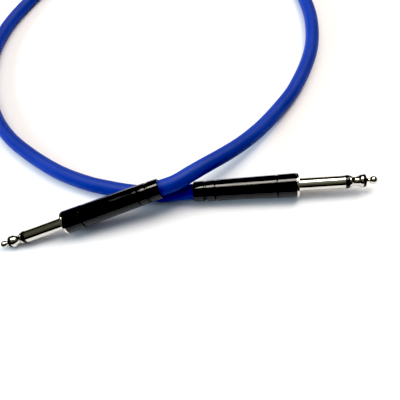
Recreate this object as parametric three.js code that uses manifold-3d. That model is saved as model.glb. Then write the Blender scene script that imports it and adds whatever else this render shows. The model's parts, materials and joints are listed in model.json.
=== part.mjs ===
// A patch cable with a three-pole 4.4 mm plug on each end, lying in a loop on a table.
// Millimetres, +Z up. The origin is on the table, under the middle of the two plugs.
// In a plug's own frame +Y runs towards its tip, and y = 0 is the front face of its flange.

import * as THREE from 'three';
import { mergeVertices } from 'three/addons/utils/BufferGeometryUtils.js';
import Module from 'manifold-3d';

const wasm = await Module();
wasm.setup();

// Clearances
const slip = 0.1; // radial, between nested tubes
const seat = 0.1; // along the plug, between faces that meet
const cableFit = 0.25; // radial, between the cable and the handle's rear hole
const restGap = 0.4; // between the left handle and the cable that it rests on

// Cable
const cableRadius = 2.75;
const braidRadius = 2.0;
const braidLength = 6.0;
const coreRadius = 0.6;
const coreSpacing = 1.4;
const strandRadius = 0.35;

// Finger: the part that goes into the jack
const fingerRadius = 2.2;
const sleeveWall = 0.4;
const sleeveLength = 14.75;
const ringInsulatorWidth = 1.2;
const ringInsulatorWall = 0.25;
const ringLength = 4.1;
const ringWaistDepth = 0.55;
const ringTubeWall = 0.25;
const tipInsulatorWidth = 0.8;
const tipInsulatorWall = 0.35;
const collarStep = 0.05;
const neckRadius = 0.75;
const neckLength = 1.2;
const ballRadius = 1.35;
const edge = 0.12; // chamfer on the finger's edges

// Flange, thread and spigot behind it
const flangeThickness = 0.7;
const flangeLip = 0.05;
const threadLength = 3.2;
const spigotWall = 0.6;
const spigotLength = 2.3;

// Terminals and their insulating washers
const washerThickness = 0.9;
const terminalThickness = 0.5;
const tabThickness = 0.4;
const tabWidth = 1.5;
const tabOverhang = 3.0; // of both tabs behind the rod's end
const peenThickness = 0.35;
const peenLip = 0.25;

// Cable clamp, liner and handle
const clampThickness = 0.35;
const clampRingLength = 1.6;
const clampArmWidth = 1.8;
const crimpLength = 3.3;
const crimpWall = 0.5;
const wireRoom = 6.6; // from the tip terminal's face to the end of the braid
const linerWall = 0.15;
const linerEndGap = 0.4;
const handleFrontWall = 0.75;
const handleRearWall = 0.5;
const handleLength = 34.25;
const handleRearRound = 0.45;
const rearBandStart = 3.6; // distances from the handle's rear end
const rearBandWidth = 1.05;
const rearLineStart = 7.4;
const frontLineSetback = 5.95; // distance from the handle's front end
const lineWidth = 0.4;
const grooveDepth = 0.28;
const frontStep = 0.06;

// Faces per turn
const roundSides = 20;
const smallSides = 12;
const cableSides = 12;
const cableSteps = 80;

// Nested radii of the finger, from the outside in
const sleeveBore = fingerRadius - sleeveWall;
const ringInsulatorOuter = sleeveBore - slip;
const ringInsulatorInner = ringInsulatorOuter - ringInsulatorWall;
const ringTubeOuter = ringInsulatorInner - slip;
const ringTubeInner = ringTubeOuter - ringTubeWall;
const tipInsulatorOuter = ringTubeInner - slip;
const tipInsulatorInner = tipInsulatorOuter - tipInsulatorWall;
const rodRadius = tipInsulatorInner - slip;

// Nested radii behind the flange, from the inside out
const tabStep = 3 * slip + tabThickness; // from the tip's tab out to the ring's
const coresAcross = 4 * coreRadius + 3 * slip;
const tabRoom = (coresAcross + tabStep) / 2 + 2 * slip + tabThickness;
const spigotRadius = Math.max(sleeveBore + spigotWall, tabRoom);
const clampInner = spigotRadius + slip;
const clampOuter = clampInner + clampThickness;
const crimpInner = braidRadius + slip;
const crimpOuter = Math.max(crimpInner + crimpWall, clampInner + slip);
const cableHole = Math.max(cableRadius + cableFit, clampOuter + slip, crimpOuter + slip);
const linerInner = clampOuter + slip;
const linerOuter = linerInner + linerWall;
const chamberRadius = linerOuter + slip;
const threadRadius = chamberRadius;
const threadBore = threadRadius + slip;
const handleFrontRadius = threadBore + handleFrontWall;
const handleRearRadius = cableHole + handleRearWall;
const flangeRadius = handleFrontRadius + flangeLip;
const collarRadius = fingerRadius - collarStep;

// Places along the finger, forwards from the flange
const ringInsulatorBack = sleeveLength + seat;
const ringInsulatorFront = ringInsulatorBack + ringInsulatorWidth;
const ringBack = ringInsulatorFront + seat;
const ringFront = ringBack + ringLength;
const tipInsulatorBack = ringFront + seat;
const tipInsulatorFront = tipInsulatorBack + tipInsulatorWidth;
const neckBack = tipInsulatorFront + seat;
const ballReach = Math.sqrt(ballRadius ** 2 - neckRadius ** 2);
const ballCentre = neckBack + neckLength + ballReach;

// Places behind the flange, backwards from it
const threadEnd = -flangeThickness - threadLength;
const spigotEnd = threadEnd - spigotLength;
const ringWasherFront = spigotEnd - seat;
const ringWasherBack = ringWasherFront - washerThickness;
const ringTerminalFront = ringWasherBack - seat;
const ringTerminalBack = ringTerminalFront - terminalThickness;
const ringTubeEnd = ringTerminalBack - seat - peenThickness;
const tipWasherFront = ringTubeEnd - seat;
const tipWasherBack = tipWasherFront - washerThickness;
const tipTerminalFront = tipWasherBack - seat;
const tipTerminalBack = tipTerminalFront - terminalThickness;
const rodEnd = tipTerminalBack - seat - peenThickness;
const tabEnd = rodEnd - tabOverhang;
const coreEnd = tabEnd - seat;
const coreStart = tipTerminalBack - wireRoom;
const braidFront = coreStart - seat;
const braidBack = braidFront - braidLength;
const jacketEnd = braidBack - seat;
const handleFront = -flangeThickness - seat;
const handleRear = handleFront - handleLength;
const chamberStart = threadEnd - seat;
const chamberEnd = braidFront - seat;

// How the plugs lie. The right one rests on its flange and the rear of its handle. The left one rests on
// the front rim of its ring contact and, at the rear of its handle, on the cable of the right one.
const rightContactLength = -handleRear - handleRearRound - flangeThickness;
const rightTilt = Math.asin((flangeRadius - handleRearRadius) / rightContactLength);
const rightFlangeHeight = flangeRadius * Math.cos(rightTilt) + flangeThickness * Math.sin(rightTilt);
const rightPlug = {
  prefix: 'right',
  flange: new THREE.Vector3(39.84, -3.31, rightFlangeHeight),
  heading: THREE.MathUtils.degToRad(-14.6),
  tilt: rightTilt,
};
const leftRearHeight = 2 * cableRadius + handleRearRadius + restGap;
const leftTilt = -Math.asin((leftRearHeight - collarRadius) / (ringFront - handleRear));
const leftPlug = {
  prefix: 'left',
  flange: new THREE.Vector3(-39.35, 6.6, collarRadius - ringFront * Math.sin(leftTilt)),
  heading: THREE.MathUtils.degToRad(180),
  tilt: leftTilt,
};

// The cable's route between its two straight ends: x, y and the cable's lift off the table
const route = [
  [-4.9, 8.5, 0.15],
  [-10.4, 10.6, 0.02],
  [-16.9, 13.6, 0.02],
  [-23.2, 17.1, 0.02],
  [-30.7, 21.8, 0.02],
  [-42.0, 31.2, 0.02],
  [-53.6, 44.5, 0.02],
  [-61.7, 56.2, 0.02],
  [-68.1, 70.6, 0.02],
  [-72.5, 91.7, 0.02],
  [-71.1, 114.7, 0.02],
  [-65.1, 132.9, 0.02],
  [-55.6, 148.0, 0.02],
  [-38.9, 166.4, 0.02],
  [-20.8, 177.3, 0.02],
  [-1.0, 182.1, 0.02],
  [18.9, 180.7, 0.02],
  [38.4, 174.4, 0.02],
  [55.3, 162.9, 0.02],
  [68.4, 147.3, 0.02],
  [76.8, 128.6, 0.02],
  [79.2, 108.4, 0.02],
  [77.9, 91.5, 0.02],
  [75.1, 76.2, 0.02],
  [68.0, 58.2, 0.02],
  [54.7, 40.2, 0.1],
  [45.4, 31.7, 0.55],
  [35.9, 24.1, 1.7],
  [27.9, 18.7, 3.2],
  [20.0, 14.4, 4.95],
  [13.1, 11.2, 6.5],
  [6.6, 8.4, 7.55],
];
const straightRun = 5.4; // of cable behind each handle

const nickel = { color: 0xc9c6bd, roughness: 0.18, metalness: 1.0 };
const tinned = { color: 0xb7b9bb, roughness: 0.35, metalness: 1.0 };
const copper = { color: 0xc07a4e, roughness: 0.4, metalness: 1.0 };
const blackGloss = { color: 0x08080a, roughness: 0.15, metalness: 0.0 };
const blackInsulator = { color: 0x0c0c0e, roughness: 0.4, metalness: 0.0 };
const clearLiner = { color: 0xd8d4c4, roughness: 0.3, metalness: 0.0 };
const bluePvc = { color: 0x1b3f9c, roughness: 0.38, metalness: 0.0 };
const redPvc = { color: 0xb01e1e, roughness: 0.4, metalness: 0.0 };
const whitePvc = { color: 0xe6e4dc, roughness: 0.4, metalness: 0.0 };

function piece(name, geometry, finish) {
  const mesh = new THREE.Mesh(geometry, new THREE.MeshStandardMaterial(finish));
  mesh.name = name;
  return mesh;
}

// Turns an outline of [radius, y] points about the plug's axis. It runs up the outside and down the
// inside, and closes on itself unless it starts on the axis.
function turned(outline, sides) {
  const points = outline.map(([radius, y]) => new THREE.Vector2(radius, y));
  if (outline[0][0] > 0) points.push(points[0].clone());
  return new THREE.LatheGeometry(points, sides);
}

function tubeOutline(inner, outer, back, front) {
  return [[inner, back], [outer, back], [outer, front], [inner, front]];
}

function arc(centreRadius, centreY, radius, fromDegrees, toDegrees, steps) {
  return Array.from({ length: steps + 1 }, (_, i) => {
    const angle = THREE.MathUtils.degToRad(fromDegrees + (toDegrees - fromDegrees) * i / steps);
    return [centreRadius + radius * Math.cos(angle), centreY + radius * Math.sin(angle)];
  });
}

function solid(geometry) {
  const bare = geometry.clone();
  bare.deleteAttribute('normal');
  bare.deleteAttribute('uv');
  const merged = mergeVertices(bare, 1e-4);
  const mesh = new wasm.Mesh({
    numProp: 3,
    vertProperties: new Float32Array(merged.attributes.position.array),
    triVerts: new Uint32Array(merged.index.array),
  });
  return new wasm.Manifold(mesh);
}

function geometryOf(manifold) {
  const mesh = manifold.getMesh();
  const geometry = new THREE.BufferGeometry();
  geometry.setAttribute('position', new THREE.BufferAttribute(mesh.vertProperties, 3));
  geometry.setIndex(new THREE.BufferAttribute(mesh.triVerts, 1));
  return geometry;
}

function box(width, length, height, x, y, z) {
  return new THREE.BoxGeometry(width, length, height).translate(x, y, z);
}

function rod(points, radius, sides, steps) {
  const section = new THREE.Shape();
  for (let i = 0; i < sides; i += 1) {
    const angle = 2 * Math.PI * i / sides;
    const place = [radius * Math.cos(angle), radius * Math.sin(angle)];
    if (i === 0) section.moveTo(...place);
    else section.lineTo(...place);
  }
  const path = new THREE.CatmullRomCurve3(points, false, 'centripetal');
  return new THREE.ExtrudeGeometry(section, { steps, extrudePath: path, bevelEnabled: false });
}

function sleeveBody() {
  return turned([
    [sleeveBore, spigotEnd],
    [spigotRadius, spigotEnd],
    [spigotRadius, threadEnd],
    [threadRadius, threadEnd],
    [threadRadius, -flangeThickness],
    [flangeRadius, -flangeThickness],
    [flangeRadius, 0],
    [fingerRadius, 0],
    [fingerRadius, sleeveLength - edge],
    [fingerRadius - edge, sleeveLength],
    [sleeveBore, sleeveLength],
  ], roundSides);
}

function ringInsulator() {
  return turned([
    [ringInsulatorInner, spigotEnd],
    [ringInsulatorOuter, spigotEnd],
    [ringInsulatorOuter, ringInsulatorBack],
    [fingerRadius, ringInsulatorBack],
    [fingerRadius, ringInsulatorFront],
    [ringInsulatorInner, ringInsulatorFront],
  ], roundSides);
}

// The ring contact's grip groove is a shallow waist between two lands.
function ringContact() {
  const land = ringLength / 6;
  const waistLength = ringLength - 2 * land;
  const waist = [0, 1, 2, 3, 4, 5].map((i) => [
    collarRadius - ringWaistDepth * Math.sin(Math.PI * i / 5),
    ringBack + land + waistLength * i / 5,
  ]);
  return turned([
    [ringTubeInner, ringTubeEnd],
    [ringTubeOuter + peenLip, ringTubeEnd],
    [ringTubeOuter + peenLip, ringTubeEnd + peenThickness],
    [ringTubeOuter, ringTubeEnd + peenThickness],
    [ringTubeOuter, ringBack],
    [collarRadius, ringBack],
    ...waist,
    [collarRadius, ringFront],
    [ringTubeInner, ringFront],
  ], roundSides);
}

function tipInsulator() {
  return turned([
    [tipInsulatorInner, ringTubeEnd],
    [tipInsulatorOuter, ringTubeEnd],
    [tipInsulatorOuter, tipInsulatorBack],
    [collarRadius, tipInsulatorBack],
    [collarRadius - edge, tipInsulatorFront],
    [tipInsulatorInner, tipInsulatorFront],
  ], roundSides);
}

function tipContact() {
  const startAngle = -THREE.MathUtils.radToDeg(Math.acos(neckRadius / ballRadius));
  const ball = arc(0, ballCentre, ballRadius, startAngle, 90, 8);
  ball.at(-1)[0] = 0;
  return turned([
    [0, rodEnd],
    [rodRadius + peenLip, rodEnd],
    [rodRadius + peenLip, rodEnd + peenThickness],
    [rodRadius, rodEnd + peenThickness],
    [rodRadius, neckBack],
    [neckRadius, neckBack],
    ...ball,
  ], roundSides);
}

// A flat ring with a solder tab running back from its rim, on the side given by the sign of direction.
function terminal(inner, outer, back, direction) {
  const ring = solid(turned(tubeOutline(inner, outer, back, back + terminalThickness), smallSides));
  const tabCentre = direction * (outer - tabThickness / 2 - slip);
  const length = back + terminalThickness - tabEnd;
  const centreY = tabEnd + length / 2;
  const tab = solid(box(tabThickness, length, tabWidth, tabCentre, centreY, 0));
  return geometryOf(ring.add(tab));
}

// The sleeve's terminal: a ring on the spigot, an arm along the plug and a crimp round the braid.
function cableClamp() {
  const ringBackY = spigotEnd + seat;
  const crimpFront = braidFront - (braidLength - crimpLength) / 2;
  const crimpBack = crimpFront - crimpLength;
  const ring = solid(turned(
    tubeOutline(clampInner, clampOuter, ringBackY, ringBackY + clampRingLength), roundSides));
  const shell = solid(turned(
    tubeOutline(clampInner, clampOuter, crimpBack, ringBackY + seat), roundSides));
  const armLength = ringBackY + seat - crimpBack;
  const slab = solid(box(
    clampArmWidth, armLength + 1, clampOuter, 0, crimpBack + armLength / 2, clampOuter / 2 + slip));
  const crimp = solid(turned(
    tubeOutline(crimpInner, crimpOuter, crimpBack, crimpFront), roundSides));
  return geometryOf(ring.add(shell.intersect(slab)).add(crimp));
}

// A core leaves the braid beside the axis and runs to the inside face of its terminal's tab.
function coreAndStrands(tabInnerX) {
  const side = Math.sign(tabInnerX);
  const coreX = side * Math.max(coreSpacing / 2, coreRadius + slip);
  const strandX = tabInnerX - side * (slip + strandRadius);
  const coreEndX = tabInnerX - side * (slip + coreRadius);
  const at = (x, y) => new THREE.Vector3(x, y, 0);
  const core = rod([
    at(coreX, coreStart),
    at(coreX, coreStart + (coreEnd - coreStart) * 0.3),
    at(coreEndX, coreStart + (coreEnd - coreStart) * 0.8),
    at(coreEndX, coreEnd),
  ], coreRadius, 8, 5);
  const strands = rod([at(strandX, coreEnd + seat), at(strandX, rodEnd - seat)], strandRadius, 8, 1);
  return [core, strands];
}

function liner() {
  return turned(
    tubeOutline(linerInner, linerOuter, chamberEnd + linerEndGap, chamberStart - linerEndGap), roundSides);
}

// The handle's outside tapers to the rear. Two thin grooves and one wide band are turned into it.
function handle() {
  const radiusAt = (fromRear) => THREE.MathUtils.mapLinear(
    fromRear, 0, handleLength, handleRearRadius, handleFrontRadius);
  const groove = (start, width) => {
    const end = start + width;
    return [
      [radiusAt(start), handleRear + start],
      [radiusAt(start) - grooveDepth, handleRear + start],
      [radiusAt(end) - grooveDepth, handleRear + end],
      [radiusAt(end), handleRear + end],
    ];
  };
  const frontLineEnd = handleLength - frontLineSetback;
  const frontLineStart = frontLineEnd - lineWidth;
  const rearRound = arc(
    radiusAt(0) - handleRearRound, handleRear + handleRearRound, handleRearRound, -90, 0, 3);
  return turned([
    [cableHole, handleRear],
    ...rearRound,
    ...groove(rearBandStart, rearBandWidth),
    ...groove(rearLineStart, lineWidth),
    [radiusAt(frontLineStart) - frontStep, handleRear + frontLineStart],
    [radiusAt(frontLineStart) - grooveDepth, handleRear + frontLineStart],
    [radiusAt(frontLineEnd) - grooveDepth, handleRear + frontLineEnd],
    [radiusAt(frontLineEnd), handleRear + frontLineEnd],
    [handleFrontRadius, handleFront],
    [threadBore, handleFront],
    [threadBore, chamberStart],
    [chamberRadius, chamberStart],
    [chamberRadius, chamberEnd],
    [cableHole, chamberEnd],
  ], roundSides);
}

function plug({ prefix, flange, heading, tilt }) {
  const group = new THREE.Group();
  const add = (name, geometry, finish) => group.add(piece(`${prefix}_${name}`, geometry, finish));
  const washer = (inner, outer, back) => turned(
    tubeOutline(inner, outer, back, back + washerThickness), smallSides);
  const ringTerminalOuter = spigotRadius - slip;
  const ringTabInner = ringTerminalOuter - slip - tabThickness;
  const tipTabInner = ringTabInner - tabStep;
  const tipTerminalOuter = tipTabInner + tabThickness + slip;
  add('sleeve_body', sleeveBody(), nickel);
  add('ring_insulator', ringInsulator(), blackInsulator);
  add('ring_contact', ringContact(), nickel);
  add('tip_insulator', tipInsulator(), blackInsulator);
  add('tip_contact', tipContact(), nickel);
  add('ring_washer', washer(ringTubeOuter + slip, spigotRadius, ringWasherBack), blackInsulator);
  add('ring_terminal', terminal(ringTubeOuter + slip, ringTerminalOuter, ringTerminalBack, 1), tinned);
  add('tip_washer', washer(rodRadius + slip, tipTerminalOuter, tipWasherBack), blackInsulator);
  add('tip_terminal', terminal(rodRadius + slip, tipTerminalOuter, tipTerminalBack, -1), tinned);
  add('cable_clamp', cableClamp(), tinned);
  add('shield_braid', turned([
    [0, braidBack],
    [braidRadius, braidBack],
    [braidRadius, braidFront],
    [0, braidFront],
  ], smallSides), copper);
  const [ringCore, ringStrands] = coreAndStrands(ringTabInner);
  const [tipCore, tipStrands] = coreAndStrands(-tipTabInner);
  add('ring_core', ringCore, whitePvc);
  add('ring_strands', ringStrands, copper);
  add('tip_core', tipCore, redPvc);
  add('tip_strands', tipStrands, copper);
  add('liner', liner(), clearLiner);
  add('handle', handle(), blackGloss);

  const ahead = new THREE.Vector3(
    Math.cos(tilt) * Math.cos(heading), Math.cos(tilt) * Math.sin(heading), Math.sin(tilt));
  const side = new THREE.Vector3().crossVectors(ahead, new THREE.Vector3(0, 0, 1)).normalize();
  const up = new THREE.Vector3().crossVectors(side, ahead);
  group.setRotationFromMatrix(new THREE.Matrix4().makeBasis(side, ahead, up));
  group.position.copy(flange);
  group.updateMatrixWorld();
  return group;
}

// The cable runs straight in each plug and for a little way behind it.
function cable(rightGroup, leftGroup) {
  const onAxis = (group, y) => new THREE.Vector3(0, y, 0).applyMatrix4(group.matrixWorld);
  const straight = (group) => [jacketEnd, (jacketEnd + handleRear) / 2, handleRear, handleRear - straightRun]
    .map((y) => onAxis(group, y));
  const points = [
    ...straight(rightGroup),
    ...route.map(([x, y, lift]) => new THREE.Vector3(x, y, cableRadius + lift)),
    ...straight(leftGroup).reverse(),
  ];
  return rod(points, cableRadius, cableSides, cableSteps);
}

const assembly = new THREE.Group();
const rightGroup = plug(rightPlug);
const leftGroup = plug(leftPlug);
assembly.add(rightGroup, leftGroup, piece('cable', cable(rightGroup, leftGroup), bluePvc));

export default assembly;
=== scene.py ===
# %% [markdown]
# # A patch cable on a table
# The real thing is short: a round blue cable with a slim three-pole plug on each end, laid down in a loop.
# The CAD frame already holds every piece at its real size, and the handles can unscrew. Here each piece
# gets a finer mesh and a finish. Everything is in metres, in the same frame as the CAD.

# %% Load the frame
import json
import math

import bmesh
import bpy
import numpy as np
from mathutils import Matrix, Vector


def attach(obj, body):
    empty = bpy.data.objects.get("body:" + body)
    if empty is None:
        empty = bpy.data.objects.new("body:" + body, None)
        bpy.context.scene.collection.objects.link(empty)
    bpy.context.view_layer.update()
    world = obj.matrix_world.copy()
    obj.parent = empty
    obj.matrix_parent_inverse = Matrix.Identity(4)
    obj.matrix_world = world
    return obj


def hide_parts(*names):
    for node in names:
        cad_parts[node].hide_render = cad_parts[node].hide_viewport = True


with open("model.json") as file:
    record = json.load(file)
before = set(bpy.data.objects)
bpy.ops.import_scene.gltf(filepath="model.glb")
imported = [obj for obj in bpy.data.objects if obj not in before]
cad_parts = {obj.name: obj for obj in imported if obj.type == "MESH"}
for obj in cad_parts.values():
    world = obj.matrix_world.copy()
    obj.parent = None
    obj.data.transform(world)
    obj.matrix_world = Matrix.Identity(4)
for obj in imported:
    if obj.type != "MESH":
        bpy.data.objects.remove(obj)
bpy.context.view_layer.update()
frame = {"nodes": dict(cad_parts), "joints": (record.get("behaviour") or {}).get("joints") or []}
MM = 0.001

# %% [markdown]
# ## Where the plugs are
# Each handle turns about its plug's own axis, so the frame's hinges say where the plugs lie: the hinge's
# point is the middle of the flange's front face, and its axis runs back along the cable. A matrix made of
# that point and three directions lets every piece be modelled upright, in the plug's own millimetres.

# %% The two plugs' matrices
SIDES = ("right", "left")


def plug_matrix(side):
    hinge = next(j for j in frame["joints"] if j["name"] == f"{side}_handle_turn")
    ahead = -Vector(hinge["axis"]).normalized()
    across = ahead.cross(Vector((0, 0, 1))).normalized()
    up = across.cross(ahead)
    turn = Matrix((across, ahead, up)).transposed().to_4x4()
    return Matrix.Translation(Vector(hinge["pos_m"])) @ turn


plug_frames = {side: plug_matrix(side) for side in SIDES}


def node_span(node, side):
    """A CAD node's back, front and largest radius in its plug's frame, in millimetres."""
    to_plug = plug_frames[side].inverted()
    points = np.array([to_plug @ v.co for v in frame["nodes"][node].data.vertices]) / MM
    return points[:, 1].min(), points[:, 1].max(), np.hypot(points[:, 0], points[:, 2]).max()


for cad_name in ("right_handle", "left_handle", "right_sleeve_body", "right_tip_contact"):
    print(cad_name, "back, front, radius in mm:", np.round(node_span(cad_name, cad_name.split("_")[0]), 2))

# %% [markdown]
# ## The camera
# The view is from the front, steeply down, with a wide lens held close, and the horizon tilted. A camera
# in Blender looks along its own -Z, so it is pitched up from straight down and then rolled about its view.

# %% Camera
CAMERA_PLACE = Vector((0.0071, -0.0696, 0.1188))
CAMERA_ELEVATION = math.radians(58.3)
CAMERA_ROLL = math.radians(-15.5)
CAMERA_LENS = 36.0
SENSOR_WIDTH = 36.0

camera_data = bpy.data.cameras.new("camera")
camera_data.lens = CAMERA_LENS
camera_data.sensor_width = SENSOR_WIDTH
camera_data.clip_start = 0.005
camera = bpy.data.objects.new("camera", camera_data)
bpy.context.scene.collection.objects.link(camera)
pitch = Matrix.Rotation(math.pi / 2 - CAMERA_ELEVATION, 4, "X")
roll = Matrix.Rotation(CAMERA_ROLL, 4, "Z")
camera.matrix_world = Matrix.Translation(CAMERA_PLACE) @ pitch @ roll
bpy.context.scene.camera = camera
print("camera looks along", np.round(camera.matrix_world.to_3x3() @ Vector((0, 0, -1)), 3))

# %% [markdown]
# ## The cable's route
# A cable is a fixed length of something springy. It leaves each handle straight, the left plug's cable
# comes down over the right plug's, and the loop closes behind. The route is a given list, the same as the
# CAD's, joined by a centripetal Catmull-Rom curve, which passes through every point without the
# overshoot that an ordinary spline makes where points are close together.

# %% Cable centreline
CABLE_RADIUS = 2.75 * MM
STRAIGHT_RUN = 5.4
ROUTE = [  # x, y and the cable's lift off the table
    (-0.0049, 0.0085, 0.00015),
    (-0.0104, 0.0106, 0.00002),
    (-0.0169, 0.0136, 0.00002),
    (-0.0232, 0.0171, 0.00002),
    (-0.0307, 0.0218, 0.00002),
    (-0.0420, 0.0312, 0.00002),
    (-0.0536, 0.0445, 0.00002),
    (-0.0617, 0.0562, 0.00002),
    (-0.0681, 0.0706, 0.00002),
    (-0.0725, 0.0917, 0.00002),
    (-0.0711, 0.1147, 0.00002),
    (-0.0651, 0.1329, 0.00002),
    (-0.0556, 0.1480, 0.00002),
    (-0.0389, 0.1664, 0.00002),
    (-0.0208, 0.1773, 0.00002),
    (-0.0010, 0.1821, 0.00002),
    (0.0189, 0.1807, 0.00002),
    (0.0384, 0.1744, 0.00002),
    (0.0553, 0.1629, 0.00002),
    (0.0684, 0.1473, 0.00002),
    (0.0768, 0.1286, 0.00002),
    (0.0792, 0.1084, 0.00002),
    (0.0779, 0.0915, 0.00002),
    (0.0751, 0.0762, 0.00002),
    (0.0680, 0.0582, 0.00002),
    (0.0547, 0.0402, 0.00010),
    (0.0454, 0.0317, 0.00055),
    (0.0359, 0.0241, 0.00170),
    (0.0279, 0.0187, 0.00320),
    (0.0200, 0.0144, 0.00495),
    (0.0131, 0.0112, 0.00650),
    (0.0066, 0.0084, 0.00755),
]


def on_axis(side, y):
    return plug_frames[side] @ Vector((0, y * MM, 0))


def catmull(points, per_span):
    """A centripetal Catmull-Rom curve through the points, with per_span steps from each to the next."""
    p = [2 * points[0] - points[1], *points, 2 * points[-1] - points[-2]]
    line = []
    for a, b, c, d in zip(p, p[1:], p[2:], p[3:]):
        t0 = 0.0
        t1 = t0 + math.sqrt((b - a).length)
        t2 = t1 + math.sqrt((c - b).length)
        t3 = t2 + math.sqrt((d - c).length)
        for step in range(per_span):
            t = t1 + (t2 - t1) * step / per_span
            ab = a.lerp(b, (t - t0) / (t1 - t0))
            bc = b.lerp(c, (t - t1) / (t2 - t1))
            cd = c.lerp(d, (t - t2) / (t3 - t2))
            abc = ab.lerp(bc, (t - t0) / (t2 - t0))
            bcd = bc.lerp(cd, (t - t1) / (t3 - t1))
            line.append(abc.lerp(bcd, (t - t1) / (t2 - t1)))
    return [*line, points[-1].copy()]


def evenly(line, step):
    """The line again, with points about step apart."""
    xyz = np.array(line)
    along = np.concatenate([[0], np.cumsum(np.linalg.norm(np.diff(xyz, axis=0), axis=1))])
    at = np.linspace(0, along[-1], math.ceil(along[-1] / step) + 1)
    return [Vector(v) for v in np.stack([np.interp(at, along, xyz[:, k]) for k in range(3)], axis=1)]


braid_back = node_span("right_shield_braid", "right")[0]
handle_back = node_span("right_handle", "right")[0]
jacket_end = braid_back - 0.1


def straight_ends(side):
    stops = (jacket_end, (jacket_end + handle_back) / 2, handle_back, handle_back - STRAIGHT_RUN)
    return [on_axis(side, y) for y in stops]


stops = straight_ends("right")
stops += [Vector((x, y, CABLE_RADIUS + lift)) for x, y, lift in ROUTE]
stops += reversed(straight_ends("left"))
cable_line = evenly(catmull(stops, 12), 1.5 * MM)

# %% [markdown]
# ## Mesh makers
# Nearly every piece of a plug is turned on a lathe, so one function spins an outline about the plug's
# axis. Real edges are never perfectly sharp, and a small round catches the light, so a corner of the
# outline can carry a radius. Wires and the jacket are tubes, made by carrying a ring along a line.

# %% Lathe and tube
SHARP_EDGE = math.radians(50)


def linked(name, mesh, matrix=None):
    piece = bpy.data.objects.new(name, mesh)
    bpy.context.scene.collection.objects.link(piece)
    if matrix is not None:
        piece.matrix_world = matrix
    return piece


def soften(outline):
    """An outline of (radius, y) or (radius, y, round) corners, with each round as a short curve."""
    points = []
    for i, (r, y, *size) in enumerate(outline):
        here = Vector((r, y))
        if not size:
            points.append(here)
            continue
        before = Vector(outline[i - 1][:2])
        after = Vector(outline[(i + 1) % len(outline)][:2])
        start = here + (before - here).normalized() * size[0]
        end = here + (after - here).normalized() * size[0]
        for t in np.linspace(0, 1, 5):
            points.append(start.lerp(here, t).lerp(here.lerp(end, t), t))
    return points


def turned(name, outline, sides=96, ridge=None):
    """Spins an outline, in millimetres, about +Y. It runs up the outside and down the inside.
    ridge(angle, y, r) can change a radius, as a thread does."""
    points = soften(outline)
    on_axis_end = points[0].x < 1e-6
    vertices, faces = [], []
    for r, y in points:
        for k in range(sides):
            angle = 2 * math.pi * k / sides
            radius = ridge(angle, y, r) if ridge else r
            vertices.append((radius * math.sin(angle) * MM, y * MM, radius * math.cos(angle) * MM))
    rings = len(points)
    last = rings - 1 if on_axis_end else rings
    for i in range(last):
        j = (i + 1) % rings
        for k in range(sides):
            n = (k + 1) % sides
            faces.append((i * sides + k, i * sides + n, j * sides + n, j * sides + k))
    mesh = bpy.data.meshes.new(name)
    mesh.from_pydata(vertices, [], faces)
    tidy(mesh)
    return mesh


def tidy(mesh):
    """Joins doubled points, drops flat faces, turns the faces outwards and shades them smooth."""
    b = bmesh.new()
    b.from_mesh(mesh)
    bmesh.ops.remove_doubles(b, verts=b.verts, dist=1e-8)
    bmesh.ops.dissolve_degenerate(b, edges=b.edges, dist=1e-8)
    bmesh.ops.recalc_face_normals(b, faces=b.faces)
    if b.calc_volume(signed=True) < 0:
        bmesh.ops.reverse_faces(b, faces=b.faces)
    b.to_mesh(mesh)
    b.free()
    mesh.shade_smooth()
    mesh.set_sharp_from_angle(angle=SHARP_EDGE)


def tube(name, line, radius, sides):
    """A closed tube along a line. Its UV map runs round it in turns and along it in metres."""
    vertices, faces, uvs = [], [], []
    ahead = (line[1] - line[0]).normalized()
    side = ahead.orthogonal().normalized()
    along = 0.0
    for i, point in enumerate(line):
        new_ahead = (line[min(i + 1, len(line) - 1)] - line[max(i - 1, 0)]).normalized()
        side = (ahead.rotation_difference(new_ahead) @ side).normalized()
        ahead = new_ahead
        up = ahead.cross(side)
        along += (point - line[i - 1]).length if i else 0.0
        for k in range(sides):
            angle = 2 * math.pi * k / sides
            vertices.append(point + radius * (side * math.cos(angle) + up * math.sin(angle)))
            uvs.append((k / sides, along))
    for i in range(len(line) - 1):
        for k in range(sides):
            n = (k + 1) % sides
            faces.append((i * sides + k, i * sides + n, (i + 1) * sides + n, (i + 1) * sides + k))
    faces.append(tuple(reversed(range(sides))))
    faces.append(tuple((len(line) - 1) * sides + k for k in range(sides)))
    mesh = bpy.data.meshes.new(name)
    mesh.from_pydata(vertices, [], faces)
    layer = mesh.uv_layers.new(name="along")
    for face in mesh.polygons:
        wraps = len(face.vertices) == 4 and face.vertices[0] % sides == sides - 1
        for loop in face.loop_indices:
            u, v = uvs[mesh.loops[loop].vertex_index]
            layer.data[loop].uv = (1.0 if wraps and u == 0 else u, v)
    mesh.shade_smooth()
    mesh.set_sharp_from_angle(angle=SHARP_EDGE)
    return mesh


# %% [markdown]
# ## Shader maths
# A finish is easier to read as a formula than as a web of nodes. A Shade wraps one socket: adding or
# multiplying Shades adds the Math nodes, and `node` makes any other kind of node.

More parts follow.
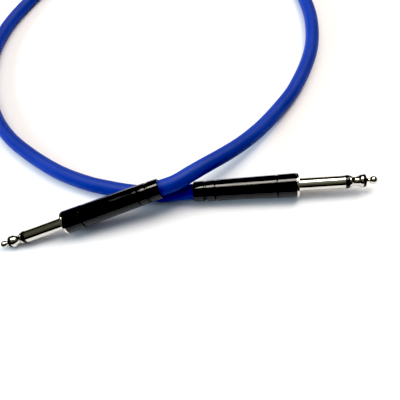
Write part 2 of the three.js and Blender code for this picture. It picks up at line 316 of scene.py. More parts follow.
# %% The Shade class
class Shade:
    def __init__(self, tree, socket=None):
        self.tree = tree
        self.socket = socket

    def node(self, kind, settings=None, values=None, out=0):
        made = self.tree.nodes.new(kind)
        for key, value in (settings or {}).items():
            if key == "stops":
                self.fill_ramp(made.color_ramp, value)
            else:
                setattr(made, key, value)
        for key, value in (values or {}).items():
            if isinstance(value, Shade):
                self.tree.links.new(value.socket, made.inputs[key])
            else:
                made.inputs[key].default_value = value
        return Shade(self.tree, made.outputs[out])

    @staticmethod
    def fill_ramp(ramp, stops):
        while len(ramp.elements) < len(stops):
            ramp.elements.new(1.0)
        for element, (place, colour) in zip(ramp.elements, stops):
            element.position = place
            element.color = colour

    def maths(self, operation, *values):
        return self.node("ShaderNodeMath", {"operation": operation}, dict(enumerate(values)))

    def __add__(self, other):
        return self.maths("ADD", self, other)

    def __sub__(self, other):
        return self.maths("SUBTRACT", self, other)

    def __mul__(self, other):
        return self.maths("MULTIPLY", self, other)

    def ramp(self, low, high, to_low=0.0, to_high=1.0):
        """This value's span from low to high, as to_low to to_high, smoothly."""
        settings = {"interpolation_type": "SMOOTHSTEP"}
        return self.node("ShaderNodeMapRange", settings, {0: self, 1: low, 2: high, 3: to_low, 4: to_high})

    def mix(self, colour_a, colour_b):
        """colour_a where this value is 0, and colour_b where it is 1."""
        values = {0: self, 6: colour_a, 7: colour_b}
        return self.node("ShaderNodeMix", {"data_type": "RGBA"}, values, out=2)

    def noise(self, where, scale, detail=2.0, roughness=0.5):
        values = {"Vector": where, "Scale": scale, "Detail": detail, "Roughness": roughness}
        return self.node("ShaderNodeTexNoise", None, values)

    def stretched(self, where, x, y, z):
        settings = {"operation": "MULTIPLY"}
        return self.node("ShaderNodeVectorMath", settings, {0: where, 1: (x, y, z)})

    def bump(self, height, strength, distance):
        values = {"Height": height, "Strength": strength, "Distance": distance}
        return self.node("ShaderNodeBump", None, values)


def rgb(red, green, blue):
    return (red, green, blue, 1.0)


def new_finish(name):
    """A new material, its Shade and its Principled shader."""
    material = bpy.data.materials.new(name)
    material.use_nodes = True
    tree = material.node_tree
    shader = tree.nodes["Principled BSDF"]
    return material, Shade(tree), shader


def feed(shade, shader, values):
    """Links or sets the shader's sockets by name."""
    for key, value in values.items():
        if isinstance(value, Shade):
            shade.tree.links.new(value.socket, shader.inputs[key])
        else:
            shader.inputs[key].default_value = value


# %% [markdown]
# ## Blue jacket
# The jacket is soft PVC with a satin skin. Extrusion leaves very faint lines along it and a fine grain,
# and handling leaves duller patches. A highlight on it is broad, so its roughness is well above gloss.

# %% Jacket finish
def jacket_finish():
    material, s, shader = new_finish("blue_jacket_pvc")
    place = s.node("ShaderNodeTexCoord", None, None, "Object")
    along = s.node("ShaderNodeUVMap", {"uv_map": "along"})
    lines = s.noise(s.stretched(along, 46.0, 9.0, 1.0), 1.0, 2.0)
    grain = s.noise(place, 5200.0, 2.0, 0.6)
    patches = s.noise(place, 55.0, 3.0)
    colour = patches.ramp(0.3, 0.7).mix(rgb(0.013, 0.036, 0.25), rgb(0.017, 0.045, 0.3))
    height = lines * 0.5 + grain * 0.5
    feed(s, shader, {
        "Base Color": colour,
        "Roughness": patches.ramp(0.35, 0.75, 0.44, 0.54) + grain * 0.05,
        "Normal": s.bump(height, 0.22, 0.00004),
        "Specular IOR Level": 0.14,
    })
    return material


jacket_blue = jacket_finish()
print("made", jacket_blue.name)

# %% [markdown]
# ## The jacket piece
# The jacket is one tube along the centreline. It rides on the body that holds both plugs and stands for
# the CAD tube.

# %% Cable
CORE_BODY = "cable_and_plugs"
jacket = linked("cable_jacket", tube("cable_jacket", cable_line, CABLE_RADIUS, 40))
jacket.data.materials.append(jacket_blue)
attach(jacket, CORE_BODY)
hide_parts("cable")
print("jacket faces:", len(jacket.data.polygons))

# %% [markdown]
# ## Nickel plate
# Nickel is a warm, yellowish metal. The contacts are turned and then plated, so very fine rings run round
# them, and a plug that has been used has light smears. Both go into roughness and bump, and the colour
# stays almost even.

# %% Nickel finish
def nickel_finish():
    material, s, shader = new_finish("nickel_plating")
    place = s.node("ShaderNodeTexCoord", None, None, "Object")
    rings = s.noise(s.stretched(place, 40.0, 9000.0, 40.0), 1.0, 3.0)
    scuffs = s.noise(s.stretched(place, 900.0, 250.0, 900.0), 1.0, 4.0, 0.65)
    smears = s.noise(place, 260.0, 3.0)
    colour = smears.ramp(0.3, 0.7).mix(rgb(0.74, 0.71, 0.65), rgb(0.66, 0.635, 0.58))
    feed(s, shader, {
        "Base Color": colour,
        "Metallic": 1.0,
        "Roughness": smears.ramp(0.35, 0.8, 0.07, 0.15) + scuffs.ramp(0.55, 0.8, 0.0, 0.08),
        "Normal": s.bump(rings, 0.12, 0.00001),
    })
    return material


nickel_plate = nickel_finish()
print("made", nickel_plate.name)

# %% [markdown]
# ## Black plastics
# The handles are a hard, glossy moulded black with faint turning lines, dust and hairline scratches. The
# insulators are a duller black. One function makes both, from how rough each one is.

# %% Black finishes
def black_finish(name, rough_low, rough_high, dust_amount, lines_strength):
    material, s, shader = new_finish(name)
    place = s.node("ShaderNodeTexCoord", None, None, "Object")
    lines = s.noise(s.stretched(place, 60.0, 4200.0, 60.0), 1.0, 2.0)
    scratches = s.noise(s.stretched(place, 2600.0, 160.0, 2600.0), 1.0, 3.0, 0.7)
    handling = s.noise(place, 170.0, 4.0)
    dust = s.noise(place, 3800.0, 2.0, 0.7).ramp(0.68, 0.76) * dust_amount
    colour = dust.mix(rgb(0.0042, 0.0042, 0.005), rgb(0.09, 0.09, 0.085))
    rough = handling.ramp(0.35, 0.7, rough_low, rough_high) + scratches.ramp(0.6, 0.85, 0.0, 0.1)
    feed(s, shader, {
        "Base Color": colour,
        "Roughness": rough + dust * 0.4,
        "Normal": s.bump(lines * 0.6 + scratches * 0.4, lines_strength, 0.00001),
        "Specular IOR Level": 0.36,
    })
    return material


handle_black = black_finish("black_handle_gloss", 0.1, 0.2, 0.5, 0.1)
insulator_black = black_finish("black_insulator_satin", 0.28, 0.4, 0.25, 0.2)
print("made", handle_black.name, insulator_black.name)

# %% [markdown]
# ## Metals inside the handle
# The solder tags and the clamp are stamped brass with a dull tin coat. The shield is a copper braid, whose
# crossing wires are two sets of helical stripes: where both are high, a wire lies on top. Between the
# wires the colour is painted dark, as painted shade.

# %% Tin, braid and copper finishes
def tin_finish():
    material, s, shader = new_finish("tin_coat")
    place = s.node("ShaderNodeTexCoord", None, None, "Object")
    spangle = s.node("ShaderNodeTexVoronoi", None, {"Vector": place, "Scale": 2600.0})
    cloud = s.noise(place, 700.0, 4.0)
    feed(s, shader, {
        "Base Color": cloud.ramp(0.3, 0.75).mix(rgb(0.62, 0.62, 0.6), rgb(0.5, 0.48, 0.42)),
        "Metallic": 1.0,
        "Roughness": cloud.ramp(0.3, 0.7, 0.28, 0.42) + spangle * 0.08,
        "Normal": s.bump(cloud + spangle * 0.5, 0.25, 0.00002),
    })
    return material


def braid_finish():
    material, s, shader = new_finish("copper_braid")
    place = s.node("ShaderNodeTexCoord", None, None, "Object")
    parts = [s.node("ShaderNodeSeparateXYZ", None, {0: place}, out) for out in range(3)]
    turn = s.maths("ARCTAN2", parts[0], parts[2])
    lean = parts[1] * 2600.0
    one_way = s.maths("SINE", turn * 12.0 + lean)
    other_way = s.maths("SINE", turn * 12.0 - lean)
    weave_height_and_painted_shade = s.maths("MAXIMUM", one_way, other_way).ramp(-0.6, 1.0)
    tarnish = s.noise(place, 900.0, 3.0)
    # Where the weave is low, between the wires, the base colour is a dark painted shade; on the wires it is
    # bright copper.
    colour = weave_height_and_painted_shade.mix(rgb(0.12, 0.05, 0.025), rgb(0.78, 0.42, 0.27))
    feed(s, shader, {
        "Base Color": colour,
        "Metallic": 1.0,
        "Roughness": tarnish.ramp(0.3, 0.7, 0.25, 0.45),
        "Normal": s.bump(weave_height_and_painted_shade, 0.8, 0.00008),
    })
    return material


def copper_finish():
    material, s, shader = new_finish("tinned_copper_strands")
    place = s.node("ShaderNodeTexCoord", None, None, "Object")
    tarnish = s.noise(place, 1500.0, 3.0)
    feed(s, shader, {
        "Base Color": tarnish.ramp(0.35, 0.7).mix(rgb(0.8, 0.5, 0.34), rgb(0.45, 0.24, 0.14)),
        "Metallic": 1.0,
        "Roughness": tarnish.ramp(0.3, 0.7, 0.22, 0.4),
        "Normal": s.bump(tarnish, 0.15, 0.00001),
    })
    return material


tinned_brass = tin_finish()
copper_braid = braid_finish()
copper_strands = copper_finish()
print("made", tinned_brass.name, copper_braid.name, copper_strands.name)


# %% Core and liner finishes
def core_finish(name, colour, shaded):
    """Thin PVC on a core: an even colour with a slight wax-like mottle."""
    material, s, shader = new_finish(name)
    place = s.node("ShaderNodeTexCoord", None, None, "Object")
    mottle = s.noise(place, 1300.0, 3.0)
    feed(s, shader, {
        "Base Color": mottle.ramp(0.3, 0.7).mix(colour, shaded),
        "Roughness": mottle.ramp(0.3, 0.7, 0.3, 0.42),
        "Normal": s.bump(mottle, 0.1, 0.00001),
    })
    return material


def liner_finish():
    """A thin film of cloudy plastic, seen through a little."""
    material, s, shader = new_finish("liner_plastic")
    place = s.node("ShaderNodeTexCoord", None, None, "Object")
    cloud = s.noise(place, 500.0, 3.0)
    feed(s, shader, {
        "Base Color": cloud.ramp(0.3, 0.7).mix(rgb(0.72, 0.68, 0.55), rgb(0.6, 0.55, 0.42)),
        "Roughness": cloud.ramp(0.3, 0.7, 0.2, 0.34),
        "Alpha": cloud.ramp(0.3, 0.7, 0.72, 0.86),
        "Normal": s.bump(cloud, 0.1, 0.00002),
    })
    return material


white_core = core_finish("white_core_pvc", rgb(0.82, 0.81, 0.76), rgb(0.7, 0.68, 0.62))
red_core = core_finish("red_core_pvc", rgb(0.5, 0.02, 0.02), rgb(0.36, 0.014, 0.014))
liner_film = liner_finish()
print("made", white_core.name, red_core.name, liner_film.name)

# %% [markdown]
# ## The plug's dimensions
# Millimetres, in the plug's frame: +Y runs to the tip and 0 is the flange's front face. The finger is a
# set of nested tubes, each a tenth of a millimetre clear of the next.

# %% Dimensions
SLIP = 0.1
FINGER = 2.2
COLLAR = 2.15
SLEEVE_BORE = 1.8
RING_TUBE = (1.1, 1.35)
RING_INSULATOR_TUBE = (1.45, 1.7)
TIP_INSULATOR_TUBE = (0.65, 1.0)
ROD = 0.55
PEEN = 0.25
PEEN_LENGTH = 0.35
NECK = 0.75
BALL = 1.35
SPIGOT = 2.4
CLAMP = (2.5, 2.85)
LINER = (2.95, 3.1)
THREAD = 3.2
THREAD_PITCH = 0.5
THREAD_DEPTH = 0.22
THREAD_ROOT = THREAD - 0.2
BORE_THREAD_DEPTH = 0.14
FLANGE_BACK = -0.7
THREAD_END = -3.9
THREAD_BORE = 3.3
CHAMBER = 3.2
HANDLE_REAR = 3.5
HANDLE_FRONT = 4.05
CABLE_HOLE = 3.0
FLANGE = 4.1

back_of = {}
front_of = {}
for cad_name in frame["nodes"]:
    if cad_name.startswith("right_"):
        short = cad_name[len("right_"):]
        back_of[short], front_of[short], _ = (float(v) for v in node_span(cad_name, "right"))
sleeve_front = front_of["sleeve_body"]
spigot_end = back_of["sleeve_body"]
ring_front = front_of["ring_contact"]
ring_back = front_of["ring_insulator"] + SLIP
tip_insulator_front = front_of["tip_insulator"]
ball_centre = front_of["tip_contact"] - BALL
print(f"sleeve to {sleeve_front:.2f}, ring {ring_back:.2f} to {ring_front:.2f}, ball at {ball_centre:.2f} mm")


# %% Piece maker
def fit(side, name, mesh, finish, body=CORE_BODY):
    """Places a mesh in a plug's frame as the piece that stands for that plug's CAD node."""
    piece = linked(f"{side}_plug_{name}", mesh, plug_frames[side])
    if not mesh.materials:
        mesh.materials.append(finish)
    smooth = piece.modifiers.new("even_shading", "WEIGHTED_NORMAL")
    smooth.keep_sharp = True
    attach(piece, body)
    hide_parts(f"{side}_{name}")
    return piece


def fit_both(name, mesh, finish, body=None):
    for side in SIDES:
        fit(side, name, mesh, finish, f"{side}_{body}" if body else CORE_BODY)
    print(name, "has", len(mesh.polygons), "faces")


# %% [markdown]
# ## Sleeve body
# One turned piece: the finger's sleeve, the flange that stops against the jack, and behind it the thread
# for the handle and a plain spigot. The thread is a real helix: the radius rises and falls with how far a
# point is along the pitch at its angle, and fades out at both ends.

# %% Sleeve body
def thread_ridge(first, last, crest, depth):
    """A 60-degree thread between two places along the axis, cut down from its crest."""
    def ridge(angle, y, r):
        if not (first <= y <= last) or abs(r - crest) > 1e-6:
            return r
        phase = (y / THREAD_PITCH - angle / (2 * math.pi)) % 1.0
        wave = min(1.0, max(0.0, 1.6 * abs(2 * phase - 1) - 0.3))
        fade = min(1.0, (y - first) / THREAD_PITCH, (last - y) / THREAD_PITCH)
        return r - depth * wave * fade
    return ridge


def along_thread(radius, first, last):
    """Corners close enough together to carry a thread."""
    return [(radius, y) for y in np.linspace(first, last, 12 * round((last - first) / THREAD_PITCH))]


thread_first, thread_last = THREAD_END + 0.15, FLANGE_BACK - 0.35
sleeve_mesh = turned("sleeve_body", [
    (SLEEVE_BORE, spigot_end, 0.06),
    (SPIGOT, spigot_end, 0.12),
    (SPIGOT, THREAD_END, 0.05),
    (THREAD - 0.18, THREAD_END, 0.02),
    *along_thread(THREAD, thread_first, thread_last),
    (THREAD_ROOT, thread_last + 0.1),
    (THREAD_ROOT, FLANGE_BACK, 0.04),
    (FLANGE, FLANGE_BACK, 0.07),
    (FLANGE, 0, 0.1),
    (FINGER, 0, 0.06),
    (FINGER, sleeve_front, 0.1),
    (SLEEVE_BORE, sleeve_front, 0.05),
], 112, thread_ridge(thread_first, thread_last, THREAD, THREAD_DEPTH))
fit_both("sleeve_body", sleeve_mesh, nickel_plate)

# %% [markdown]
# ## Contacts and insulators of the finger
# In front of the sleeve come a black ring, the waisted ring contact, a thinner black ring, and the neck
# and ball of the tip. Behind what shows, each goes on as a tube or a rod to its solder tag.

# %% Ring contact
WAIST_DEPTH = 0.55
waist_from, waist_to = ring_back + 0.5, ring_front - 0.85
waist = [
    (COLLAR - 0.1 - WAIST_DEPTH * math.sin(math.pi * t) ** 0.8, waist_from + (waist_to - waist_from) * t)
    for t in np.linspace(0, 1, 15)
]
ring_mesh = turned("ring_contact", [
    (RING_TUBE[0], back_of["ring_contact"], 0.05),
    (RING_TUBE[1] + PEEN, back_of["ring_contact"], 0.1),
    (RING_TUBE[1] + PEEN, back_of["ring_contact"] + PEEN_LENGTH, 0.1),
    (RING_TUBE[1], back_of["ring_contact"] + PEEN_LENGTH),
    (RING_TUBE[1], ring_back),
    (COLLAR - 0.1, ring_back, 0.06),
    *waist,
    (COLLAR, waist_to + 0.25, 0.1),
    (COLLAR, ring_front, 0.08),
    (RING_TUBE[0], ring_front, 0.05),
])
fit_both("ring_contact", ring_mesh, nickel_plate)

# %% Finger insulators
ring_insulator_mesh = turned("ring_insulator", [
    (RING_INSULATOR_TUBE[0], back_of["ring_insulator"]),
    (RING_INSULATOR_TUBE[1], back_of["ring_insulator"], 0.05),
    (RING_INSULATOR_TUBE[1], sleeve_front + SLIP),
    (FINGER, sleeve_front + SLIP, 0.12),
    (FINGER, front_of["ring_insulator"], 0.25),
    (RING_INSULATOR_TUBE[0], front_of["ring_insulator"]),
])
tip_insulator_mesh = turned("tip_insulator", [
    (TIP_INSULATOR_TUBE[0], back_of["tip_insulator"]),
    (TIP_INSULATOR_TUBE[1], back_of["tip_insulator"], 0.05),
    (TIP_INSULATOR_TUBE[1], ring_front + SLIP),
    (COLLAR, ring_front + SLIP, 0.08),
    (COLLAR - 0.12, tip_insulator_front, 0.2),
    (TIP_INSULATOR_TUBE[0], tip_insulator_front, 0.05),
])
fit_both("ring_insulator", ring_insulator_mesh, insulator_black)
fit_both("tip_insulator", tip_insulator_mesh, insulator_black)

# %% Tip contact
ball_start = -math.acos(NECK / BALL)
ball = [
    (BALL * math.cos(a), ball_centre + BALL * math.sin(a))
    for a in np.linspace(ball_start, math.pi / 2, 28)
]
tip_mesh = turned("tip_contact", [
    (0, back_of["tip_contact"]),
    (ROD + PEEN, back_of["tip_contact"], 0.12),
    (ROD + PEEN, back_of["tip_contact"] + PEEN_LENGTH, 0.08),
    (ROD, back_of["tip_contact"] + PEEN_LENGTH),
    (ROD, tip_insulator_front + SLIP),
    (NECK + 0.25, tip_insulator_front + SLIP, 0.08),
    (NECK + 0.12, tip_insulator_front + 0.4, 0.15),
    (NECK - 0.05, tip_insulator_front + 0.75, 0.2),
    *ball,
], 80)
fit_both("tip_contact", tip_mesh, nickel_plate)

# %% [markdown]
# ## Handle
# A tapered black barrel with a rounded rear, a shallow band and two fine lines turned into it, and inside
# it a threaded mouth, a wide chamber for the solder tags and a narrow hole for the cable.

# %% Handle
GROOVE_DEPTH = 0.34
REAR_BAND = (3.6, 4.65)
BAND_DEPTH = 0.15
BAND_SLOT = 0.32
REAR_LINE = (7.4, 7.8)
FRONT_LINE_FROM_FRONT = 6.35
LINE_WIDTH = 0.4
FRONT_STEP = 0.06
handle_rear, handle_front = back_of["handle"], front_of["handle"]
handle_length = handle_front - handle_rear
front_line = handle_length - FRONT_LINE_FROM_FRONT
chamber_start = THREAD_END - SLIP
chamber_end = back_of["liner"] - 0.4


def handle_radius(from_rear):
    return HANDLE_REAR + (HANDLE_FRONT - HANDLE_REAR) * from_rear / handle_length


def slot_walls(start, end, behind=0.0, front=0.0):
    """A narrow slot round the barrel. behind and front make the surface on either side slimmer."""
    deepest = handle_radius((start + end) / 2) - GROOVE_DEPTH
    flat = 0.06
    middle = handle_rear + (start + end) / 2
    return [
        (handle_radius(start) - behind, handle_rear + start, 0.04),
        (deepest, middle - flat, 0.02),
        (deepest, middle + flat, 0.02),
        (handle_radius(end) - front, handle_rear + end, 0.04),
    ]


bore_first, bore_last = chamber_start + 0.1, handle_front - 0.45
handle_mesh = turned("handle", [
    (CABLE_HOLE, handle_rear, 0.12),
    (HANDLE_REAR, handle_rear, 0.42),
    *slot_walls(REAR_BAND[0], REAR_BAND[0] + BAND_SLOT, front=BAND_DEPTH),
    *slot_walls(REAR_BAND[1] - BAND_SLOT, REAR_BAND[1], behind=BAND_DEPTH),
    *slot_walls(*REAR_LINE),
    *slot_walls(front_line, front_line + LINE_WIDTH, behind=FRONT_STEP),
    (HANDLE_FRONT, handle_front, 0.1),
    (THREAD_BORE + 0.12, handle_front, 0.05),
    *reversed(along_thread(THREAD_BORE, bore_first, bore_last)),
    (THREAD_BORE, chamber_start, 0.03),
    (CHAMBER, chamber_start, 0.03),
    (CHAMBER, chamber_end, 0.1),
    (CABLE_HOLE, chamber_end, 0.15),
], 128, thread_ridge(bore_first, bore_last, THREAD_BORE, -BORE_THREAD_DEPTH))
fit_both("handle", handle_mesh, handle_black, "handle")

# %% [markdown]
# ## Under the handle
# Unscrew a handle and slide it back, and there are two fibre washers, two ring terminals with solder
# tabs, a clamp that crimps the shield, and the cable's two cores. They are small, so each is only as
# detailed as a close look would show: rounded edges and strands that twist.

# %% Washers, liner and braid
RING_WASHER = (RING_TUBE[1] + SLIP, SPIGOT)
TIP_WASHER = (ROD + SLIP, 1.6)
BRAID = 2.0
BRAID_WIRE = 0.05
BRAID_STARTS = 12
BRAID_LEAN = 3.4


def washer(name, inner, outer):
    back, front = back_of[name], front_of[name]
    return turned(name, [(inner, back, 0.05), (outer, back, 0.1), (outer, front, 0.1), (inner, front, 0.05)])


def woven(angle, y, r):
    """A radius that rises and falls as the braid's wires cross."""
    if r < BRAID - 0.001:
        return r
    turn = BRAID_STARTS * angle
    lean = BRAID_LEAN * y
    over = max(math.sin(turn + lean), math.sin(turn - lean))
    return r - BRAID_WIRE * (1 - over)


braid_rows = np.linspace(back_of["shield_braid"] + 0.1, front_of["shield_braid"] - 0.1, 60)
braid_mesh = turned("shield_braid", [
    (0, back_of["shield_braid"]),
    (BRAID - 0.12, back_of["shield_braid"], 0.05),
    *[(BRAID, y) for y in braid_rows],
    (BRAID - 0.12, front_of["shield_braid"], 0.05),
    (0, front_of["shield_braid"]),
], 144, woven)
fit_both("shield_braid", braid_mesh, copper_braid)
fit_both("ring_washer", washer("ring_washer", *RING_WASHER), insulator_black)
fit_both("tip_washer", washer("tip_washer", *TIP_WASHER), insulator_black)
fit_both("liner", washer("liner", *LINER), liner_film, "liner")

# %% [markdown]
# ## Stamped tags and the clamp
# Terminals and clamps are cut from sheet and bent, so they are modelled the same way: a grid of cells
# gives the sheet's outline, a function folds it into place, Solidify gives it the sheet's thickness and
# a small bevel takes off the sharp edges.

# %% Stamped pieces
TAB_WIDTH = 1.5
TAB_THICKNESS = 0.4
CLAMP_ARM = 1.8
CRIMP = (2.1, 2.6)
CRIMP_LENGTH = 3.3
CRIMP_GAP = math.radians(12)
ARM_BEND_LENGTH = 1.2


def stamped(name, grids, thickness):
    """A bent sheet. Each grid is a list of rows of points, and grids join where their edges meet."""
    vertices, faces = [], []
    for rows in grids:
        width = len(rows[0])
        start = len(vertices)
        vertices += [Vector(point) * MM for row in rows for point in row]
        for i in range(len(rows) - 1):
            for k in range(width - 1):
                a = start + i * width + k
                faces.append((a, a + 1, a + 1 + width, a + width))
    sheet = bpy.data.meshes.new(name)
    sheet.from_pydata(vertices, [], faces)
    tidy(sheet)
    blank = linked(f"{name}_blank", sheet)
    solid = blank.modifiers.new("thickness", "SOLIDIFY")
    solid.thickness = thickness * MM
    solid.offset = 0
    round_off = blank.modifiers.new("edges", "BEVEL")
    round_off.width = 0.04 * MM
    round_off.segments = 2
    round_off.limit_method = "ANGLE"
    round_off.angle_limit = SHARP_EDGE
    shaped = blank.evaluated_get(bpy.context.evaluated_depsgraph_get())
    mesh = bpy.data.meshes.new_from_object(shaped)
    mesh.name = name
    bpy.data.objects.remove(blank)
    tidy(mesh)
    return mesh


def ring_angles(gap, steps=40):
    """Angles from one side of a gap right round to its other side."""
    return np.linspace(gap, 2 * math.pi - gap, steps)


# %% Solder tags
BEND = 0.25
TERMINAL_THICKNESS = 0.5
TAB_STEPS = np.linspace(-TAB_WIDTH / 2, TAB_WIDTH / 2, 5)


def tag(name, bore, rim, tab_x, toward):
    """A ring with a tab bent back from its rim at x = tab_x, on the side that toward gives."""
    level = front_of[name] - TERMINAL_THICKNESS / 2
    root = tab_x - BEND
    gap = math.atan2(TAB_WIDTH / 2, root)
    around = ring_angles(gap + 0.1)
    outer = [(root, z) for z in TAB_STEPS] + [(rim * math.cos(a), rim * math.sin(a)) for a in around]
    inner = [(bore * math.cos(a), bore * math.sin(a)) for a in np.linspace(-gap, gap, 5)]
    inner += [(bore * math.cos(a), bore * math.sin(a)) for a in around]
    flat = [[(toward * x, level, z) for x, z in row + row[:1]] for row in (inner, outer)]
    bend = [(root + BEND * math.sin(a), level - BEND * (1 - math.cos(a)), 1.0)
            for a in np.linspace(0, math.pi / 2, 5)]
    length = bend[-1][1] - back_of[name]
    run = [(tab_x, bend[-1][1] - length * t, math.sqrt(1 - max(0.0, (t - 0.9) / 0.1) ** 2 * 0.75))
           for t in (0.45, 0.9, 0.94, 0.97, 0.99, 1.0)]
    tab = [[(toward * x, y, z * narrow) for z in TAB_STEPS] for x, y, narrow in bend + run]
    return stamped(name, [flat, tab], TAB_THICKNESS)


ring_tag = tag("ring_terminal", RING_WASHER[0], 2.3, 2.0, 1)
tip_tag = tag("tip_terminal", TIP_WASHER[0], 1.6, 1.3, -1)
fit_both("ring_terminal", ring_tag, tinned_brass)
fit_both("tip_terminal", tip_tag, tinned_brass)

# %% Cable clamp
clamp_mid = sum(CLAMP) / 2
crimp_mid = sum(CRIMP) / 2
clamp_back = spigot_end + SLIP
crimp_back = back_of["cable_clamp"]
crimp_front = crimp_back + CRIMP_LENGTH


def clamp_row(radius, y, start, end, steps=24):
    """Points at one place along the plug: across the arm's width, and then on round from it."""
    half = math.asin(CLAMP_ARM / 2 / radius)
    arm = np.linspace(-half, half, 7)
    before = np.linspace(start, -half, steps)[:-1]
    after = np.linspace(half, end, steps)[1:]
    return [(radius * math.sin(a), y, radius * math.cos(a)) for a in (*before, *arm, *after)]


def arm_row(radius, y):
    half = math.asin(CLAMP_ARM / 2 / radius)
    return [(radius * math.sin(a), y, radius * math.cos(a)) for a in np.linspace(-half, half, 7)]


band_places = np.linspace(front_of["cable_clamp"], clamp_back, 4)
band = [clamp_row(clamp_mid, y, -math.pi, math.pi) for y in band_places]
arm = [arm_row(clamp_mid, y) for y in np.linspace(clamp_back, crimp_front + ARM_BEND_LENGTH, 6)]
crimp_step = crimp_mid - clamp_mid
arm += [arm_row(clamp_mid + crimp_step * t, crimp_front + ARM_BEND_LENGTH * (1 - t)) for t in (0.3, 0.7, 1.0)]
wings = [clamp_row(crimp_mid, y, CRIMP_GAP - math.pi, math.pi - CRIMP_GAP)
         for y in np.linspace(crimp_front, crimp_back, 5)]
clamp_mesh = stamped("cable_clamp", [band, arm, wings], CLAMP[1] - CLAMP[0])
fit_both("cable_clamp", clamp_mesh, tinned_brass)

# %% [markdown]
# ## Cores and strands
# Each core swings out from the middle of the cable to its tag. The bare wire on its end is seven strands,
# six twisted about one, which is how most small wire is made.

# %% Cores and strands
CORE = 0.6
STRAND_BUNDLE = 0.35
STRAND_TWIST = 1.6
core_back, core_front = back_of["ring_core"], front_of["ring_core"]


def in_plug(*points):
    return [Vector((x, y, 0)) * MM for x, y in points]


def core(name, start_x, end_x):
    length = core_front - core_back
    stops = in_plug((start_x, core_back), (start_x, core_back + 0.3 * length),
                    (end_x, core_back + 0.8 * length), (end_x, core_front))
    return tube(name, catmull(stops, 8), CORE * MM, 24)


def strands(name, x):
    """Six wires in a helix about a seventh."""
    wire = STRAND_BUNDLE / 3
    places = np.linspace(back_of[name], front_of[name], 24)
    middle = tube(name, in_plug(*[(x, y) for y in places]), wire * MM, 10)
    meshes = [middle]
    for k in range(6):
        line = []
        for y in places:
            angle = math.pi * k / 3 + STRAND_TWIST * (y - places[0])
            offset = Vector((2 * wire * math.cos(angle), 0, 2 * wire * math.sin(angle)))
            line.append((Vector((x, y, 0)) + offset) * MM)
        meshes.append(tube(f"{name}_{k}", line, 0.98 * wire * MM, 10))
    return joined(name, meshes)


def joined(name, meshes):
    """Several meshes as one."""
    b = bmesh.new()
    for mesh in meshes:
        b.from_mesh(mesh)
        bpy.data.meshes.remove(mesh)
    whole = bpy.data.meshes.new(name)
    b.to_mesh(whole)
    b.free()
    whole.shade_smooth()
    whole.set_sharp_from_angle(angle=SHARP_EDGE)
    return whole


fit_both("ring_core", core("ring_core", 0.7, 1.1), white_core)
fit_both("tip_core", core("tip_core", -0.7, -0.4), red_core)
fit_both("ring_strands", strands("ring_strands", 1.35), copper_strands)
fit_both("tip_strands", strands("tip_strands", -0.65), copper_strands)

# %% [markdown]
# ## Table and light
# The table is a plain pale surface. A long lamp behind the cable is only mirrored: gloss black and nickel
# show it as one narrow stripe. The other lamps only light the scene, cool and low from the left, warm from
# above and from the right, so the shadows are soft, and bluish where the warm light is blocked. Where
# polished surfaces mirror the room it looks dim, because a bright one would turn the black handles grey.
# Only the camera sees the pale wall. The view's black level is raised a little, so the deepest shadows go
# black.

# %% Table
TABLE_HALF = 0.8


def table_finish():
    material, s, shader = new_finish("table_pale")
    place = s.node("ShaderNodeTexCoord", None, None, "Object")
    cloud = s.noise(place, 9.0, 3.0)
    grain = s.noise(place, 1900.0, 2.0)
    feed(s, shader, {
        "Base Color": cloud.ramp(0.3, 0.7).mix(rgb(0.86, 0.85, 0.835), rgb(0.84, 0.832, 0.825)),
        "Roughness": grain.ramp(0.3, 0.7, 0.5, 0.6),
        "Normal": s.bump(grain, 0.05, 0.0001),
    })
    return material


corners = [(-TABLE_HALF, -TABLE_HALF, 0), (TABLE_HALF, -TABLE_HALF, 0),
           (TABLE_HALF, TABLE_HALF, 0), (-TABLE_HALF, TABLE_HALF, 0)]
table_mesh = bpy.data.meshes.new("table_top")
table_mesh.from_pydata(corners, [], [(0, 1, 2, 3)])
table_mesh.materials.append(table_finish())
linked("table_top", table_mesh)


# %% Light
def soft_lamp(name, place, aim, width, length, power, colour, mirrored=False):
    """A rectangular lamp at a place, facing a point, with its length across the view.
    Polished surfaces show only a mirrored lamp, and every other lamp only lights the scene."""
    lamp = bpy.data.lights.new(name, "AREA")
    lamp.shape = "RECTANGLE"
    lamp.size = length
    lamp.size_y = width
    lamp.energy = power
    lamp.color = colour
    lit = bpy.data.objects.new(name, lamp)
    bpy.context.scene.collection.objects.link(lit)
    lit.location = place
    lit.rotation_euler = (Vector(aim) - Vector(place)).to_track_quat("-Z", "Y").to_euler()
    lit.visible_glossy = mirrored
    lit.visible_diffuse = not mirrored


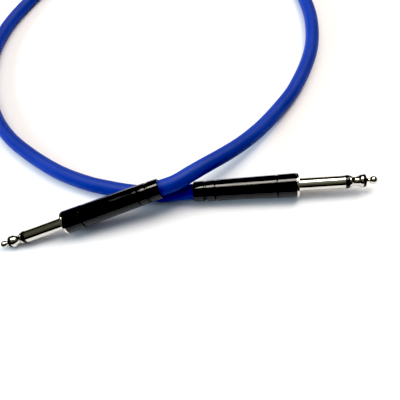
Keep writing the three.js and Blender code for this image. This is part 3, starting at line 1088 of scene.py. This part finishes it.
TABLE_MIDDLE = (0.0, 0.0, 0.0)
soft_lamp("strip_lamp", (0.09, 0.29, 0.9), (0.09, 0.0, 0.0), 0.34, 0.84, 13.5, (1.0, 0.95, 0.87),
          mirrored=True)
soft_lamp("left_window", (-1.17, 0.2, 0.42), TABLE_MIDDLE, 0.4, 1.0, 23.0, (0.66, 0.85, 1.0))
soft_lamp("ceiling_bounce", (0.0, 0.34, 0.9), TABLE_MIDDLE, 0.9, 2.0, 10.5, (1.0, 0.95, 0.9))
soft_lamp("right_softbox", (0.5, 0.2, 0.85), TABLE_MIDDLE, 0.6, 0.3, 4.0, (1.0, 0.93, 0.86))
soft_lamp("right_wall", (0.9, 0.4, 0.5), TABLE_MIDDLE, 0.5, 0.4, 3.5, (1.0, 0.9, 0.78))


def room_light():
    """A world that lights surfaces faintly, looks dim in a mirror and is a pale wall to the camera."""
    world = bpy.data.worlds.new("room")
    world.use_nodes = True
    tree = world.node_tree
    s = Shade(tree)
    direction = s.node("ShaderNodeTexCoord", None, None, "Generated")
    height = s.node("ShaderNodeSeparateXYZ", None, {0: direction}, "Z")
    bright = height.ramp(0.2, 1.0) * 0.12 + height.ramp(0.8, 1.0) * 0.2
    seen = bright.mix(rgb(0.012, 0.01, 0.008), rgb(0.95, 1.0, 0.85))
    soft = s.node("ShaderNodeBackground", None, {"Color": rgb(0.76, 0.78, 1.0), "Strength": 0.13})
    wall = s.node("ShaderNodeBackground", None, {"Color": rgb(0.8, 0.83, 0.88), "Strength": 1.0})
    mirrored = s.node("ShaderNodeBackground", None, {"Color": seen, "Strength": 1.0})
    glossy = s.node("ShaderNodeLightPath", None, None, "Is Glossy Ray")
    both = s.node("ShaderNodeMixShader", None, {0: glossy, 1: soft, 2: mirrored})
    direct = s.node("ShaderNodeLightPath", None, None, "Is Camera Ray")
    seen_room = s.node("ShaderNodeMixShader", None, {0: direct, 1: both, 2: wall})
    tree.links.new(seen_room.socket, tree.nodes["World Output"].inputs["Surface"])
    return world


bpy.context.scene.world = room_light()
settings = bpy.context.scene.view_settings
settings.view_transform = "Standard"
settings.use_curve_mapping = True
settings.curve_mapping.black_level = (0.022, 0.022, 0.022)
